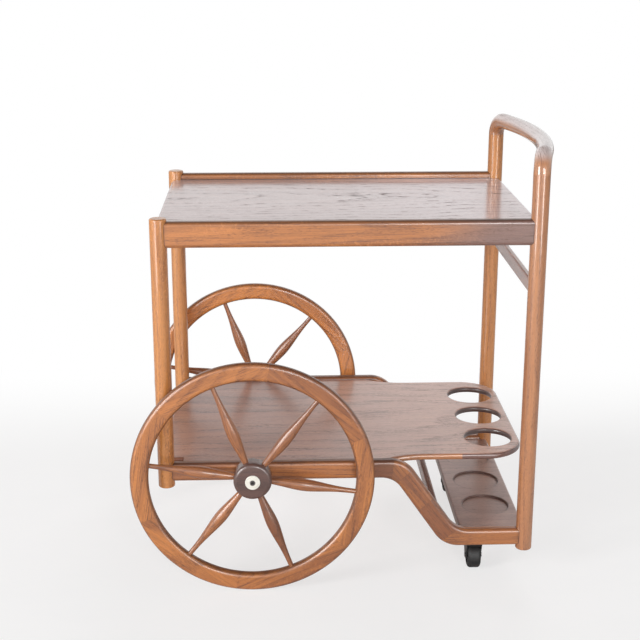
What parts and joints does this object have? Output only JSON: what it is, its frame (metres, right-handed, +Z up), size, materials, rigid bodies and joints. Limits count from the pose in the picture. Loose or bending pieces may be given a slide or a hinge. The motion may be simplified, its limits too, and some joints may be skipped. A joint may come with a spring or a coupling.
{
  "type": "serving cart",
  "caption": "Oak serving cart with a railed top, a lower shelf with bottle holes over a bottle tray, large spoked wheels at one end, swivel casters and a round push bar at the other.",
  "frame": {"origin": "on the floor, under the middle of the cart's bounding box", "axes": "+Z up, +X along the cart from the large wheels to the push bar, -Y is the front side"},
  "size_m": [0.792, 0.5846, 0.828],
  "materials": {
    "oak_frame": "satin lacquer",
    "oak_board": "satin lacquer",
    "oak_rim": "satin lacquer",
    "oak_spoke": "satin lacquer",
    "hub_stain": "satin lacquer",
    "dowel_beech": "satin lacquer",
    "bolt_bright": "polished",
    "steel": "zinc plated",
    "bush_nylon": "moulded",
    "caster_black": "moulded",
    "caster_enamel": "black enamel"
  },
  "bodies": {
    "frame": {"post_front_left": "oak_frame", "post_front_right": "oak_frame", "top_rail_front": "oak_frame", "side_rail_front": "oak_frame", "front_caster_plate": "caster_enamel", "front_caster_kingpin": "steel", "post_back_left": "oak_frame", "post_back_right": "oak_frame", "top_rail_back": "oak_frame", "side_rail_back": "oak_frame", "back_caster_plate": "caster_enamel", "back_caster_kingpin": "steel", "handle_bar": "oak_frame", "upper_cross_rail": "oak_frame", "lower_cross_rail": "oak_frame", "top_panel": "oak_board", "shelf": "oak_board", "bottle_tray": "oak_board", "frame_dowels": "dowel_beech", "handle_dowels": "dowel_beech", "axle_bolts": "bolt_bright", "axle_inserts": "steel", "axle_spacers": "bush_nylon", "caster_screws": "steel"},
    "front_wheel": {"front_rim_segment_1": "oak_rim", "front_rim_segment_2": "oak_rim", "front_rim_segment_3": "oak_rim", "front_rim_segment_4": "oak_rim", "front_rim_segment_5": "oak_rim", "front_rim_segment_6": "oak_rim", "front_spoke_1": "oak_spoke", "front_spoke_2": "oak_spoke", "front_spoke_3": "oak_spoke", "front_spoke_4": "oak_spoke", "front_spoke_5": "oak_spoke", "front_spoke_6": "oak_spoke", "front_hub": "hub_stain", "front_bush": "bush_nylon", "front_rim_dowels": "dowel_beech"},
    "front_swivel": {"front_caster_fork": "caster_enamel", "front_caster_axle": "steel"},
    "front_roller": {"front_caster_wheel": "caster_black"},
    "back_wheel": {"back_rim_segment_1": "oak_rim", "back_rim_segment_2": "oak_rim", "back_rim_segment_3": "oak_rim", "back_rim_segment_4": "oak_rim", "back_rim_segment_5": "oak_rim", "back_rim_segment_6": "oak_rim", "back_spoke_1": "oak_spoke", "back_spoke_2": "oak_spoke", "back_spoke_3": "oak_spoke", "back_spoke_4": "oak_spoke", "back_spoke_5": "oak_spoke", "back_spoke_6": "oak_spoke", "back_hub": "hub_stain", "back_bush": "bush_nylon", "back_rim_dowels": "dowel_beech"},
    "back_swivel": {"back_caster_fork": "caster_enamel", "back_caster_axle": "steel"},
    "back_roller": {"back_caster_wheel": "caster_black"}
  },
  "joints": [
    {"name": "front_wheel_spin", "type": "hinge", "parent": "frame", "child": "front_wheel", "pos_m": [-0.171, -0.27125, 0.225], "axis": [0, 1, 0], "continuous": true},
    {"name": "front_caster_swivel", "type": "hinge", "parent": "frame", "child": "front_swivel", "pos_m": [0.255, -0.178, 0.066], "axis": [0, 0, 1], "continuous": true},
    {"name": "front_caster_roll", "type": "hinge", "parent": "front_swivel", "child": "front_roller", "pos_m": [0.255, -0.196, 0.025], "axis": [1, 0, 0], "continuous": true},
    {"name": "back_wheel_spin", "type": "hinge", "parent": "frame", "child": "back_wheel", "pos_m": [-0.171, 0.27125, 0.225], "axis": [0, 1, 0], "continuous": true},
    {"name": "back_caster_swivel", "type": "hinge", "parent": "frame", "child": "back_swivel", "pos_m": [0.255, 0.178, 0.066], "axis": [0, 0, 1], "continuous": true},
    {"name": "back_caster_roll", "type": "hinge", "parent": "back_swivel", "child": "back_roller", "pos_m": [0.255, 0.16, 0.025], "axis": [1, 0, 0], "continuous": true}
  ]
}
